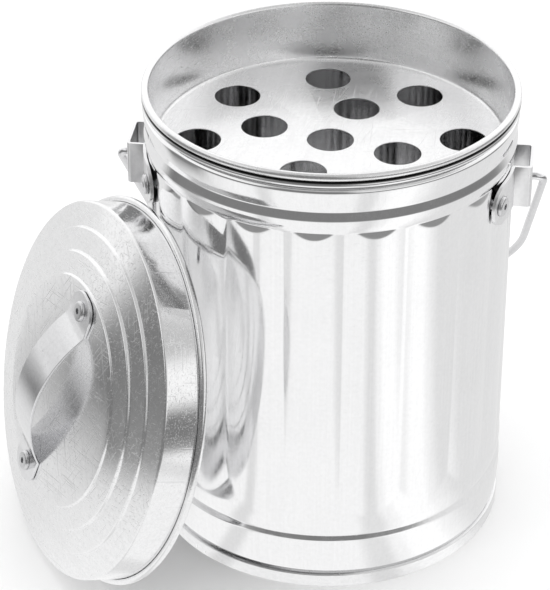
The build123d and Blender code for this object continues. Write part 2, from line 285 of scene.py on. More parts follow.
def paint_crevice_shade(wires, spot, shade, gloss, middle, reach):
    """Colour and roughness with a black line of painted shade at a height, reaching so far up and down."""
    parts = wires.add("ShaderNodeSeparateXYZ", {0: spot}).outputs
    across = wires.out("ShaderNodeCombineXYZ", {"X": parts["X"], "Y": parts["Y"]})
    across = wires.add("ShaderNodeVectorMath", {0: across}, operation="LENGTH").outputs["Value"]
    outside = wires.remap(across, crevice_shade_starts, crevice_shade_full, 0.0, crevice_shade_cover)
    off = wires.math("ABSOLUTE", wires.less(parts["Z"], middle))
    # Share of painted shade: outside the sheet, full at the crevice's height and fading up and down
    crevice_shade = wires.times(outside, wires.remap(off, reach * crevice_shade_core, reach, 1.0, 0.0, "SMOOTHSTEP"))
    shade = wires.mix(crevice_shade, shade, crevice_shade_colour)
    return shade, wires.plus(gloss, wires.times(crevice_shade, crevice_shade_dull))


print("dirt lies outside a radius of", round(crevice_shade_starts / mm, 1), "mm")

# %% [markdown]
# One function makes every zinc finish, with its own grain direction and wear. The metals share its last step, a
# shader that has all its colour in the reflection.

# %% Mix a zinc finish
def new_material(name):
    """Empty material, its wires, and the place on the piece that it reads."""
    material = bpy.data.materials.new(name)
    material.use_nodes = True
    wires = Wiring(material.node_tree)
    return material, wires, wires.add("ShaderNodeTexCoord").outputs["Object"]


def polish(wires, shade, gloss, relief, strength, depth):
    """Metal shader with a colour, a roughness and a relief of a depth."""
    normal = wires.out("ShaderNodeBump", {"Height": relief, "Strength": strength, "Distance": depth})
    shader = wires.out("ShaderNodeBsdfPrincipled", {
        "Base Color": shade, "Metallic": 1.0, "Roughness": gloss, "Normal": normal})
    wires.add("ShaderNodeOutputMaterial", {0: shader})


def blend(wires, value, share, other):
    """Value times its share, plus the other times the rest."""
    return wires.plus(wires.times(value, share), wires.times(other, 1 - share))


cloud_scale, speck_scale, crystal_scale = 28.0, 616.0, 140.0     # to the metre
roll_hair, wiped_hair = (0.66, 0.74), (0.64, 0.72)               # noise over which a scratch comes in
dullest, shiniest, crystal_gloss, scratch_dull = 1.25, 0.8, (-0.02, 0.03), 0.25
line_relief, speck_relief, crystal_relief, grain_depth = 0.6, 0.25, 0.04, 0.02 * mm


def zinc(name, colour, rough, grain, place=None, cloudy=0.1, scratch=0.35, hair_turns=(), bump=0.35, painted_shade=()):
    """Galvanised sheet. Grain gives how fine the rolling lines are along each axis of the piece, hair_turns the
    directions of its scratches about Z in degrees, and the crevices the height and half width of each line of
    painted shade."""
    material, wires, spot = new_material(name)
    if place:
        mapping = {0: spot, "Location": place.to_translation(), "Rotation": place.to_euler()}
        spot = wires.out("ShaderNodeMapping", mapping, vector_type="TEXTURE")
    clouds = metal_noise(wires, spot, cloud_scale, 4.0)
    specks = metal_noise(wires, spot, speck_scale, 2.0)
    lines = metal_noise(wires, spot, 1.0, 3.0, grain)
    hair = metal_noise(wires, spot, 1.0, 1.0, tuple(reversed(grain)), shift=0.37)
    hair = wires.remap(hair, *roll_hair, 0.0, scratch)
    for turn in hair_turns:
        wiped = wires.remap(hair_noise(wires, spot, turn), *wiped_hair, 0.0, scratch)
        hair = wires.math("MAXIMUM", hair, wiped)
    crystals = wires.add("ShaderNodeTexVoronoi", {"Vector": spot, "Scale": crystal_scale}).outputs["Color"]
    facet = wires.out("ShaderNodeSeparateColor", {0: crystals})

    tone = blend(wires, blend(wires, clouds, 0.5, specks), 0.7, lines)
    darker = [channel * (1 - cloudy) for channel in colour] + [1.0]
    share = wires.remap(tone, 0.35, 0.65, 0.0, 1.0)
    shade = wires.mix(share, darker, [*colour, 1.0])
    gloss = wires.plus(wires.remap(clouds, 0.3, 0.7, rough * shiniest, rough * dullest),
                       wires.remap(facet, 0.0, 1.0, *crystal_gloss))
    gloss = wires.plus(gloss, wires.times(hair, scratch_dull))
    # Lines of painted shade in the crevices where sheets meet
    for middle, reach in painted_shade:
        shade, gloss = paint_crevice_shade(wires, spot, shade, gloss, middle, reach)
    relief = wires.plus(wires.times(lines, line_relief), wires.times(specks, speck_relief))
    relief = wires.less(wires.plus(relief, wires.times(facet, crystal_relief)), hair)
    polish(wires, shade, gloss, relief, bump, grain_depth)
    return material


# %% Make the zinc finishes
rolls_meet = 193.6 * mm        # height at which the tray's rolled edge lies on the body's
under_roll = 190.8 * mm        # height of the corner under the body's rolled edge
# The body and the tray get painted shade where their rolled edges meet, and the body more under its rolled edge
body_zinc = zinc("body_zinc", (0.93, 0.93, 0.935), 0.09, (1300, 1300, 14), cloudy=0.07, bump=0.55,
                 painted_shade=[(rolls_meet, 0.8 * mm), (under_roll, 0.5 * mm)])
pan_zinc = zinc("pan_zinc", (0.9, 0.9, 0.905), 0.19, (300, 300, 900))
tray_zinc = zinc("tray_zinc", (0.93, 0.93, 0.935), 0.25, (900, 30, 900), scratch=0.5, hair_turns=(10, 75),
                 painted_shade=[(rolls_meet, 0.9 * mm)])
strap_zinc = zinc("strap_zinc", (0.9, 0.9, 0.905), 0.3, (700, 60, 700))
wire_zinc = zinc("wire_zinc", (0.85, 0.85, 0.86), 0.18, (300, 300, 300))
print("zinc finishes:", [m.name for m in bpy.data.materials if m.name.endswith("_zinc")])

# %% [markdown]
# ## The rivets' metals
#
# The ears and the lid's handle are held by blind rivets. Their heads are soft aluminium, turned smooth, and the steel
# mandrel that set them has snapped off inside the head, where it is left dark and rough.

# %% Make the rivets' finishes
grit_scale, grit_depth = 2200.0, 0.03 * mm       # grains to the metre, and their depth


def rivet_metal(name, colour, rough, grit):
    """Small metal part, with a fine grit in its gloss and surface."""
    material, wires, spot = new_material(name)
    grains = wires.out("ShaderNodeTexNoise", {"Vector": spot, "Scale": grit_scale, "Detail": 3.0})
    dull = [channel * 0.8 for channel in colour] + [1.0]
    shade = wires.mix(grains, dull, [*colour, 1.0])
    polish(wires, shade, wires.remap(grains, 0.3, 0.7, rough * 0.8, rough * 1.2), grains, grit, grit_depth)
    return material


rivet_aluminium = rivet_metal("rivet_aluminium", (0.78, 0.78, 0.79), 0.28, 0.3)
mandrel_steel = rivet_metal("mandrel_steel", (0.25, 0.25, 0.26), 0.45, 0.8)
print("rivet finishes:", rivet_aluminium.name, mandrel_steel.name)

# %% [markdown]
# ## The panelled body
#
# The wall is one sheet. Going up, it has a neck inside the folded foot, a wide band, a valley, a soft bead, the tall
# panels, an upper bead, a second valley, a flared collar and a rolled edge.
#
# Nineteen panels bulge out a little between narrow creases, and under the upper bead each panel slopes in like the
# eaves of a roof. Modelling nineteen panels by hand would leave seams and fix their number. Instead the whole wall
# follows a rule, so Geometry Nodes make it: a grid is bent round the axis, and one side of the grid reads its radius
# and height from a drawn outline. The outline is written as corners, from the foot up, with the swell between them.

# %% Size the wall
sheet = 0.5 * mm
lap = 0.05 * mm                # between pieces that are fastened together
seat_gap = 0.3 * mm            # between pieces that only rest on each other
rim_radius = 76.2 * mm
wall_radius = rim_radius - 1.5 * mm      # middle of a panel
body_height = 193.5 * mm
curl_tube = 1.2 * mm           # outer radius of the rolled edge in section
curl_wound = 300               # degrees that a rolled edge is wound through
mouth_neck = 1.5 * mm
mouth_radius = rim_radius - 2 * curl_tube + sheet
channel_floor = 1.0 * mm       # metal of the pan under the wall's edge
foot_radius = wall_radius + 0.1 * mm
foot_height = 6.0 * mm
neck_radius = foot_radius - 1.4 * mm

crease_depth = 1.24 * mm
crease_run_in = 14 * mm        # height over which a crease sinks in from nothing
crease_run_out = 2 * mm
core_radius = wall_radius - crease_depth - 0.3 * mm
eave_tall = 3.6 * mm           # slope at the top of a panel
eave_sink, bead_proud, groove_sink, collar_proud = 0.55 * mm, 0.9 * mm, 0.2 * mm, 1.2 * mm
band_sink, band_proud, low_groove_sink = 0.4 * mm, 0.3 * mm, 0.7 * mm
swell = 0.35 * mm              # how far the sheet swells out between its bends

band_bottom = 8.4 * mm
band_top = band_bottom + 15.2 * mm
low_valley = band_top + 2.8 * mm
panel_low = low_valley + 8.1 * mm
collar_top = body_height - 4.1 * mm
high_valley = collar_top - 9.3 * mm
bead_top = high_valley - 3.4 * mm
panel_high = bead_top - 5.9 * mm
print("a panel is", round((panel_high - panel_low) / mm, 1), "mm tall")

# %% Draw the outline of the wall
# Height, radius, and the swell on the way up to it
wall_corners = [
    (0, neck_radius, 0), (foot_height + lap, neck_radius, 0),
    (band_bottom, wall_radius - band_sink, 0), (band_top, wall_radius + band_proud, swell),
    (low_valley, wall_radius - low_groove_sink, 0), (panel_low, wall_radius + lap, swell),
    (panel_low + crease_run_in, core_radius, 0), (panel_high - crease_run_out, core_radius, 0),
    (panel_high, wall_radius - eave_sink + lap, 0), (bead_top, wall_radius + bead_proud, swell),
    (high_valley, wall_radius - groove_sink, 0), (collar_top, wall_radius + collar_proud, swell),
    (body_height - curl_tube - mouth_neck, mouth_radius, 0), (2 * body_height, mouth_radius, 0),
]


def core_at(height):
    """Radius of the plain wall, which reaches to the bottom of the creases."""
    for (low, start, _), (high, end, bulge) in zip(wall_corners, wall_corners[1:]):
        if height <= high:
            share = (height - low) / (high - low)
            return start + (end - start) * share + 4 * bulge * share * (1 - share)


def eave_at(height):
    """Radius of the slope that cuts off the tops of the panels."""
    if height < panel_low:
        return core_at(height) - mm
    return wall_radius - eave_sink + (panel_high - height) * (eave_sink + lap) / eave_tall


def formed(radius_at, height, bend=0.3 * mm):
    """The same line with the bends that sheet metal takes over the die."""
    samples = [radius_at(height + bend * step / 4) for step in range(-4, 5)]
    return sum(samples) / len(samples)


print("at half height the core's radius is", round(formed(core_at, body_height / 2) / mm, 2), "mm")

# %% Space the rows and roll the edge
# Where the pitch of the rows changes: a height, and the pitch above it, which is fine only round a bend
curl_height = body_height - curl_tube
fine, medium = 0.35 * mm, 0.8 * mm
row_pitches = [
    (channel_floor + lap, 2.5 * mm), (foot_height, medium), (band_top - mm, fine), (low_valley + mm, medium),
    (panel_low, medium), (panel_low + crease_run_in + mm, 15 * mm), (panel_high - 8 * mm, 0.3 * mm),
    (panel_high + mm, 0.6 * mm), (bead_top - 0.8 * mm, fine), (high_valley + 0.8 * mm, medium),
    (collar_top - 0.5 * mm, fine), (curl_height, mm)]
wall_heights = []
for (start, pitch), (end, _) in zip(row_pitches, row_pitches[1:]):
    count = max(round((end - start) / pitch), 1)
    wall_heights += [start + (end - start) * step / count for step in range(count)]

# Each point holds the core's radius, the eave's radius and the height
outside = [Vector((formed(core_at, height), formed(eave_at, height), height)) for height in wall_heights]
inside = [point - Vector((sheet, sheet, 0)) for point in reversed(outside[::4])]
curl_centre = (rim_radius - curl_tube, curl_height)
rolled = arc(curl_centre, curl_tube - sheet, 180, 180 - curl_wound, 12)
rolled += arc(curl_centre, curl_tube, 180 - curl_wound, 180, 12)
rolled = [Vector((radius, radius - mm, height)) for radius, height in rolled]
print("the wall's outline has", len(outside + rolled + inside), "points")

# %% [markdown]
# The rule for the panels works on the angle. A parabola says how far a spot sinks on its way from the middle of a
# panel to a crease. The smaller of panel and eave ends each panel in the dark lens shape that shows under the bead,
# and the larger of that and the core ends each crease. Both choices are smooth ones, because sheet metal has no sharp
# corners. The side seam of the sheet is a low band on one panel.

# %% Write the recipe of the panelled wall
def panelled_wall_recipe():
    wires, given = open_recipe("Panelled wall", {
        "Columns": "Int", "Panels": "Int", "Panel radius": "Float", "Crease depth": "Float", "Phase": "Float",
        "Bend": "Float", "Seam panel": "Int", "Seam width": "Float", "Seam proud": "Float", "Seam low": "Float",
        "Seam high": "Float", "Finish": "Material"})
    math_node, plus, less, times = wires.math, wires.plus, wires.less, wires.times
    outline = given["Geometry"]
    points = wires.add("GeometryNodeAttributeDomainSize", {0: outline}).outputs["Point Count"]
    rows = plus(points, 1.0)
    grid = wires.out("GeometryNodeMeshGrid", {"Vertices X": plus(given["Columns"], 1.0), "Vertices Y": rows})
    index = wires.out("GeometryNodeInputIndex")
    column = math_node("FLOOR", math_node("DIVIDE", plus(index, 0.5), rows))
    row = math_node("MODULO", less(index, times(column, rows)), points)

    def read(value, kind):
        inputs = {"Geometry": outline, "Value": value, "Index": row}
        return wires.out("GeometryNodeSampleIndex", inputs, data_type=kind)

    place = read(wires.out("GeometryNodeInputPosition"), "FLOAT_VECTOR")
    drawn = wires.add("ShaderNodeSeparateXYZ", {0: place}).outputs
    core, eave, height = drawn["X"], drawn["Y"], drawn["Z"]
    inset = wires.out("GeometryNodeInputNamedAttribute", {"Name": "inset"}, data_type="FLOAT")
    inset = read(inset, "FLOAT")

    along = times(math_node("DIVIDE", column, given["Columns"]), given["Panels"])
    pitch = math_node("DIVIDE", 2 * math.pi, given["Panels"])
    turn = plus(given["Phase"], times(along, pitch))
    off_middle = math_node("ABSOLUTE", less(math_node("FRACT", along), 0.5))
    share = times(off_middle, 2.0)
    bend = given["Bend"]
    sink = times(given["Crease depth"], times(share, share))
    deepest = less(given["Crease depth"], math_node("DIVIDE", bend, 3.0))
    sink = math_node("SMOOTH_MIN", sink, deepest, bend)
    panel = less(less(given["Panel radius"], inset), sink)
    radius = math_node("SMOOTH_MAX", core, math_node("SMOOTH_MIN", eave, panel, bend), bend)

    seam_along = plus(given["Seam panel"], 0.5)
    off_seam = times(math_node("ABSOLUTE", less(along, seam_along)), pitch)
    off_seam = times(off_seam, radius)
    half_seam = math_node("DIVIDE", given["Seam width"], 2.0)
    seam_flat = times(half_seam, 0.6)
    seam = wires.remap(off_seam, seam_flat, half_seam, given["Seam proud"], 0.0, "SMOOTHSTEP")
    for end, beyond in (("Seam low", 2 * mm), ("Seam high", -2 * mm)):
        full = plus(given[end], beyond)
        seam = times(seam, wires.remap(height, given[end], full, 0.0, 1.0))
    radius = plus(radius, seam)
    spot = wires.out("ShaderNodeCombineXYZ", {
        "X": times(radius, math_node("COSINE", turn)),
        "Y": times(radius, math_node("SINE", turn)), "Z": height})
    bent = wires.out("GeometryNodeSetPosition", {"Geometry": grid, "Position": spot})
    closed = wires.out("GeometryNodeMergeByDistance", {"Geometry": bent, "Distance": 0.001 * mm})
    return close_recipe(wires, closed, given["Finish"])


# %% Form the body wall
def line_mesh(points):
    """Open line through points, for a recipe that reads a line."""
    mesh = bpy.data.meshes.new("line")
    mesh.from_pydata(points, [(spot, spot + 1) for spot in range(len(points) - 1)], [])
    return mesh


def outward(mesh):
    """The same closed mesh with its faces pointing outwards."""
    form = bmesh.new()
    form.from_mesh(mesh)
    bmesh.ops.recalc_face_normals(form, faces=form.faces)
    form.to_mesh(mesh)
    form.free()
    return mesh


panel_count = 19
columns_per_panel = 24
crease_phase = math.radians(-3.6)        # from +X to the first crease
seam_panel, seam_width, seam_proud = 6, 5.0 * mm, 0.65 * mm
wall_line = line_mesh(outside + rolled + inside)
insets = wall_line.attributes.new("inset", "FLOAT", "POINT")
for spot in range(len(outside + rolled), len(wall_line.vertices)):
    insets.data[spot].value = sheet
body_mesh = cook(panelled_wall_recipe(), wall_line, {
    "Columns": panel_count * columns_per_panel, "Panels": panel_count, "Panel radius": wall_radius,
    "Crease depth": crease_depth, "Phase": crease_phase, "Bend": 0.12 * mm, "Seam panel": seam_panel,
    "Seam width": seam_width, "Seam proud": seam_proud, "Seam low": panel_low + 3 * mm,
    "Seam high": panel_high - eave_tall, "Finish": body_zinc})
hand_over("body_wall_sheet", outward(body_mesh), "can", "body_zinc", ["body_wall"])

# %% [markdown]
# ## The bottom pan
#
# The floor is a shallow pan whose flange goes down inside the wall, turns under its edge and comes up again outside
# as the foot. It is a plain turned piece, so its outline is drawn with corners and bend radii and turned.

# %% Turn the bottom pan
floor_height = 9.6 * mm
wall_inside = neck_radius - sheet - lap
wall_outside = neck_radius + lap
leg = wall_inside - sheet
pan_corners = [
    (0, floor_height - sheet), (leg, floor_height - sheet), (leg, 0), (foot_radius, 0), (foot_radius, foot_height),
    (wall_outside, foot_height), (wall_outside, channel_floor), (wall_inside, channel_floor),
    (wall_inside, floor_height), (0, floor_height),
]
pan_bends = [r * mm for r in (0.1, 0.4, 0.6, 0.55, 0.1, 0.1, 0.1, 0.45)]
hand_over("bottom_pan_sheet", turned(rounded_line(pan_corners, pan_bends)), "can", "pan_zinc", ["bottom_pan"],
          pan_zinc)

# %% [markdown]
# ## The perforated tray
#
# The tray is a dish with thirteen round holes: one in the middle, four round it and eight round those. The holes
# repeat on rings, so a recipe places one punch at every point of a set and takes them all out of the dish at once.
# The punch is a little wider at the top, which leaves the small rounded edge that a real punch leaves.

# %% Turn the dish
tray_tube, tray_depth, tray_draft = 1.6 * mm, 26.1 * mm, 1.4 * mm
tray_top = body_height + seat_gap + 2 * tray_tube
tray_floor = tray_top - tray_depth
tray_roll = (rim_radius - tray_tube, tray_top - tray_tube)
tray_lip = tray_roll[0] - tray_tube
tray_floor_radius = tray_lip - tray_draft
tray_round = 1.8 * mm
dish_inside = rounded_line([
    (0, tray_floor), (tray_floor_radius, tray_floor), (tray_lip, tray_roll[1])], [tray_round])
dish_under = rounded_line([
    (tray_lip + sheet, tray_roll[1]), (tray_floor_radius + sheet, tray_floor - sheet), (0, tray_floor - sheet)],
    [tray_round + sheet])
tray_outline = (
    dish_inside[:-1] + arc(tray_roll, tray_tube, 180, 180 - curl_wound)
    + arc(tray_roll, tray_tube - sheet, 180 - curl_wound, 180) + dish_under[1:])
dish = turned(tray_outline, 180)
print("the dish has", len(dish.polygons), "faces before it is punched")


# %% Punch the holes
def punched_recipe():
    wires, given = open_recipe("Punched holes", {"Places": "Object", "Punch": "Object", "Finish": "Material"})
    places = wires.add("GeometryNodeObjectInfo", {"Object": given["Places"]}).outputs["Geometry"]
    punch = wires.add("GeometryNodeObjectInfo", {"Object": given["Punch"]}).outputs["Geometry"]
    points = wires.out("GeometryNodeMeshToPoints", {"Mesh": places})
    punches = wires.out("GeometryNodeInstanceOnPoints", {"Points": points, "Instance": punch})
    solid = wires.out("GeometryNodeRealizeInstances", {0: punches})
    cut = wires.out("GeometryNodeMeshBoolean", {"Mesh 1": given["Geometry"], "Mesh 2": solid},
                    operation="DIFFERENCE", solver="EXACT")
    return close_recipe(wires, cut, given["Finish"])


def ring_of_spots(count, radius, phase, height):
    turns = [math.radians(phase) + 2 * math.pi * spot / count for spot in range(count)]
    return [(radius * math.cos(turn), radius * math.sin(turn), height) for turn in turns]


hole = 9.5 * mm                # radius
plain_margin = 8.2 * mm
rings = [(4, 29.1 * mm, 74.2), (8, tray_floor_radius - plain_margin - hole, 7.2)]   # count, radius, first in degrees
spots = [(0, 0, tray_floor)]
for count, radius, phase in rings:
    spots += ring_of_spots(count, radius, phase, tray_floor)
spot_mesh = bpy.data.meshes.new("hole_places")
spot_mesh.from_pydata(spots, [], [])
burr = 0.18 * mm
punch_outline = [(0, -2 * sheet), (hole, -2 * sheet), (hole, -burr), (hole + 0.3 * burr, -0.3 * burr),
                 (hole + burr, 0), (hole + burr, sheet), (0, sheet)]
places = placed("hole_places", spot_mesh)
punch = placed("punch", turned(punch_outline, 72))
tray_mesh = cook(punched_recipe(), dish, {"Places": places, "Punch": punch, "Finish": tray_zinc})
for thing in (places, punch):
    bpy.data.objects.remove(thing)
# The punched edge slopes 23 degrees at the floor. Shaded smooth, it would smear the flat floor between the holes.
hand_over("tray_dish", tray_mesh, "tray", "tray_zinc", ["tray"], crease=18)

# %% [markdown]
# ## The lid
#
# The lid is a skirt and a face that climbs to the middle in three rings. Each ring is a sloping ledge with a small
# step at its inner edge: the slopes mirror the dim side of the room, and the steps the bright one, as thin lines. It
# is drawn and turned in its own frame, with the face looking along +Z, and then moved as a whole to where it leans: a
# matrix built from the side it leans on and its lean. Its material measures from the same matrix, so the marks on it
# belong to the lid and not to the room.

# %% Place the lid
lid_tube = 1.5 * mm
lid_outside = rim_radius + 0.7 * mm + sheet
lid_roll = lid_outside - sheet + lid_tube
lean, side = math.radians(16.0), math.radians(212.5)
stand_off = wall_radius + seat_gap + lid_tube + lid_roll * math.sin(lean)
lid_middle = Vector((
    stand_off * math.cos(side), stand_off * math.sin(side), lid_roll * math.cos(lean) + lid_tube))
lid_out = Vector((math.cos(lean) * math.cos(side), math.cos(lean) * math.sin(side), math.sin(lean)))
lid_across = Vector((0, 0, 1)).cross(lid_out).normalized()
lid_turn = Matrix((lid_across, lid_out.cross(lid_across), lid_out)).transposed().to_4x4()
lid_place = Matrix.Translation(lid_middle) @ lid_turn
print("the lid's middle is at", [round(v / mm, 1) for v in lid_middle], "mm")

# %% Draw the lid's outline
lid_skirt = 16.3 * mm
lid_ledges = [width * mm for width in (10.5, 9.7, 9.5)]
ledge_rise = 1.7 * mm          # how far each ledge climbs to its step
face_fall = 0.5 * mm           # the outer ledge starts this much lower, so its bend stays inside the square corner
step_rise, step_run, step_round, face_round = 1.16 * mm, 0.4 * mm, 0.3 * mm, 1.2 * mm
dome_rise = 0.35 * mm          # how far the middle stands over, and its rim under, the level of a flat one
dome_rings = 12


def lid_cap(inset):
    """Line of the lid's surface from the skirt to the middle, moved in by the inset."""
    height = lid_skirt - inset
    back = inset * math.tan(math.atan2(step_rise, step_run) / 2)
    corners = [(lid_outside - inset, 0), (lid_outside - inset, height - face_fall)]
    bends = [face_round - inset]
    radius = lid_outside
    for ledge in lid_ledges:
        radius -= ledge
        height += ledge_rise
        corners.append((radius + step_run / 2 - back, height))
        height += step_rise
        corners.append((radius - step_run / 2 - back, height))
        bends += [step_round + inset, step_round + sheet - inset]
    corners[-1] = (corners[-1][0], height - dome_rise)
    shares = [1 - step / dome_rings for step in range(1, dome_rings)]
    dome = [Vector((radius * share, height + dome_rise * (1 - 2 * share ** 2))) for share in shares]
    return rounded_line(corners + [dome[0]], bends, 8) + dome[1:] + [Vector((0, height + dome_rise))]


lid_curl = arc((lid_roll, 0), lid_tube, 180, 180 + curl_wound)
lid_curl += arc((lid_roll, 0), lid_tube - sheet, 180 + curl_wound, 180)
lid_outline = lid_cap(0) + lid_cap(sheet)[::-1] + lid_curl
print("the lid's outline has", len(lid_outline), "points")

# %% Turn the lid
lid_mesh = turned(lid_outline, 288)
lid_mesh.transform(lid_place)
lid_zinc = zinc("lid_zinc", (0.92, 0.92, 0.925), 0.13, (40, 900, 900), lid_place, cloudy=0.11, scratch=0.9,
                hair_turns=(-50, 12, 62), bump=0.7)
hand_over("lid_sheet", lid_mesh, "lid", "lid_zinc", ["lid_shell"], lid_zinc)

# %% [markdown]
# ## Ears and lid handle
#
# These are strips of thicker sheet, cut, bent and riveted. Their construction nodes already have the right bends, so
# a copy of each is cleaned up: its loose triangles are merged and flat neighbours joined. A bevel then takes the sharp
# edge off, as the tumbling barrel does on the real strips, and gives the thin bright line along every edge.

# %% Clean up the strips
def strip_piece(name, node, body, slot, finish, width):
    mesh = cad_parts[node].data.copy()
    form = bmesh.new()
    form.from_mesh(mesh)
    bmesh.ops.remove_doubles(form, verts=form.verts, dist=0.005 * mm)
    bmesh.ops.dissolve_limit(form, angle_limit=math.radians(1.0), verts=form.verts, edges=form.edges)
    form.to_mesh(mesh)
    form.free()
    piece = hand_over(name, mesh, body, slot, [node], finish)
    bevel = piece.modifiers.new("worn edge", "BEVEL")
    bevel.width, bevel.segments, bevel.limit_method = width, 2, "ANGLE"
    bevel.angle_limit = math.radians(40)
    return piece


worn = 0.22 * mm               # width of the worn edge
handle_zinc = zinc("handle_zinc", (0.86, 0.86, 0.87), 0.17, (60, 700, 700), lid_place)
for ear in ("ear_right", "ear_left"):
    strip_piece(ear + "_strap", ear, "can", "ear_strap", strap_zinc, worn)
strip_piece("lid_handle_strap", "lid_handle", "lid", "handle_strap", handle_zinc, worn)

# %% [markdown]
# ## The bail
#
# The bail is round wire that goes into each ear, turns down, and runs in an arch behind the can. It follows a path, so
# a recipe sweeps a circle along it. The path is drawn flat with corners and bend radii and then turned by the angle at
# which the bail hangs on the back of the body. Inside the ears the ends of the wire are flattened to buttons.

# %% Draw the bail's path
ear_height = body_height - 33.5 * mm
ear_reach = wall_radius + 7.55 * mm
strap = 1.2 * mm
wire = 1.6 * mm                # radius
bail_half = ear_reach + 4.95 * mm
bail_depth = 127.0 * mm
taper = math.radians(6.5)
bail_corner = 3.6 * mm
half_top = 8.47 * mm           # half the straight stretch at the top of the arch
shoulder = bail_half - bail_depth * math.tan(taper)
arch = (shoulder - half_top) / math.tan((math.pi / 2 - taper) / 2)
button_face = ear_reach - strap - lap
hang = math.asin((wall_radius + seat_gap + wire) / bail_depth)
bail_corners = [(button_face, 0), (bail_half, 0), (shoulder, -bail_depth), (-shoulder, -bail_depth),
                (-bail_half, 0), (-button_face, 0)]
bail_line = rounded_line(bail_corners, [bail_corner, arch, arch, bail_corner], 24)
bail_place = Matrix.Translation((0, 0, ear_height)) @ Matrix.Rotation(hang, 4, "X")
path = line_mesh([(x, 0, z) for x, z in bail_line])
path.transform(bail_place)
print("the bail hangs", round(math.degrees(hang), 1), "degrees behind upright, and its arch has a radius of",
      round(arch / mm, 1), "mm")


# %% Sweep the wire
def wire_recipe():
    wires, given = open_recipe("Bent wire", {"Radius": "Float", "Sides": "Int", "Finish": "Material"})
    route = wires.out("GeometryNodeMeshToCurve", {"Mesh": given["Geometry"]})
    circle = wires.out("GeometryNodeCurvePrimitiveCircle", {
        "Resolution": given["Sides"], "Radius": given["Radius"]})
    swept = wires.out("GeometryNodeCurveToMesh", {"Curve": route, "Profile Curve": circle, "Fill Caps": True})
    return close_recipe(wires, swept, given["Finish"])


def joined(meshes):
    """One mesh of several."""
    form = bmesh.new()
    for mesh in meshes:
        form.from_mesh(mesh)
    whole = bpy.data.meshes.new("joined")
    form.to_mesh(whole)
    form.free()
    return whole


button_radius, half_button, button_round = 2.7 * mm, 0.75 * mm, 0.45 * mm
button = rounded_line([
    (0, -half_button), (button_radius, -half_button), (button_radius, half_button), (0, half_button)],
    [button_round, button_round])
bail_meshes = [cook(wire_recipe(), path, {"Radius": wire, "Sides": 28, "Finish": wire_zinc})]
for end in (1, -1):
    flattened = turned(button, 40)
    seat = Matrix.Translation((end * (button_face - half_button), 0, 0)) @ Matrix.Rotation(math.pi / 2, 4, "Y")
    flattened.transform(bail_place @ seat)
    bail_meshes.append(flattened)
hand_over("bail_wire_arch", outward(joined(bail_meshes)), "bail", "bail_wire", ["bail"], wire_zinc)

# %% [markdown]
# ## Rivets
#
# Six blind rivets are the same part in six places, which is what instances are for. A point is set on each hole, with
# the direction that the head faces stored on it, and a recipe puts a turned rivet there and lines it up. The same
# recipe sets the rivets and their mandrels. The can and the lid each get a mesh of their own, because a mesh can
# follow only one body.

# %% Turn one rivet and one mandrel
shank, head, head_tall, head_round = 2.4 * mm, 4.2 * mm, 1.5 * mm, 1.1 * mm
bulb, bulb_tall, bulb_round = 3.3 * mm, 2.2 * mm, 1.2 * mm
pin, pin_head, pin_head_tall, recess = 1.25 * mm, 2.0 * mm, 1.6 * mm, 0.5 * mm
bore = pin + lap / 2


def rivet(grip):
    """Set rivet: head over Z=0, shank through the grip, swollen end under it."""
    corners = [
        (bore, head_tall), (head, head_tall), (head, lap), (shank, lap), (shank, -grip - lap), (bulb, -grip - lap),
        (bulb, -grip - bulb_tall), (bore, -grip - bulb_tall), (bore, head_tall)]
    bends = [head_round, 0.1 * mm, 0.02 * mm, 0.02 * mm, 0.3 * mm, bulb_round, 0.1 * mm]
    return turned(rounded_line(corners, bends, 8)[:-1], 48)


def mandrel(grip):
    """Broken pin inside the rivet, and its head under the swollen end."""
    under = -grip - bulb_tall - lap
    corners = [(0, head_tall - recess), (pin, head_tall - recess), (pin, under), (pin_head, under),
               (pin_head, under - pin_head_tall), (0, under - pin_head_tall)]
    return turned(rounded_line(corners, [0.15 * mm, 0.02 * mm, 0.3 * mm, 0.5 * mm]), 32)


# %% Set the rivets
def riveting_recipe():
    wires, given = open_recipe("Riveting", {"Rivet": "Object", "Finish": "Material"})
    part = wires.add("GeometryNodeObjectInfo", {"Object": given["Rivet"]}).outputs["Geometry"]
    points = wires.out("GeometryNodeMeshToPoints", {"Mesh": given["Geometry"]})
    facing = wires.out("GeometryNodeInputNamedAttribute", {"Name": "facing"}, data_type="FLOAT_VECTOR")
    turn = wires.out("FunctionNodeAlignRotationToVector", {"Vector": facing}, axis="Z")
    set_parts = wires.out("GeometryNodeInstanceOnPoints", {"Points": points, "Instance": part, "Rotation": turn})
    return close_recipe(wires, set_parts, given["Finish"])


def riveted(part, places, finish):
    """Copies of one turned part at (spot, facing) places, as one mesh."""
    holes = bpy.data.meshes.new("rivet_places")
    holes.from_pydata([spot for spot, facing in places], [], [])
    directions = holes.attributes.new("facing", "FLOAT_VECTOR", "POINT")
    for row, (spot, facing) in enumerate(places):
        directions.data[row].vector = facing
    pattern = placed("rivet_pattern", part)
    mesh = cook(riveting_recipe(), holes, {"Rivet": pattern, "Finish": finish})
    bpy.data.objects.remove(pattern)
    return mesh


# %% Find the places on the ears and the handle
ear_face = wall_radius + lap + strap
seat_sink = 0.3 * mm           # the wall's pressed seat under a rivet
ear_grip = ear_face - (wall_radius - seat_sink - sheet)
ear_rivet_angle = 20.2         # degrees either side of the ear's middle
ear_places = []
for middle in (0, 180):
    for swing in (-ear_rivet_angle, ear_rivet_angle):
        turn = math.radians(middle + swing)
        ahead = Vector((math.cos(turn), math.sin(turn), 0))
        ear_places.append((ear_face * ahead + Vector((0, 0, ear_height)), ahead))

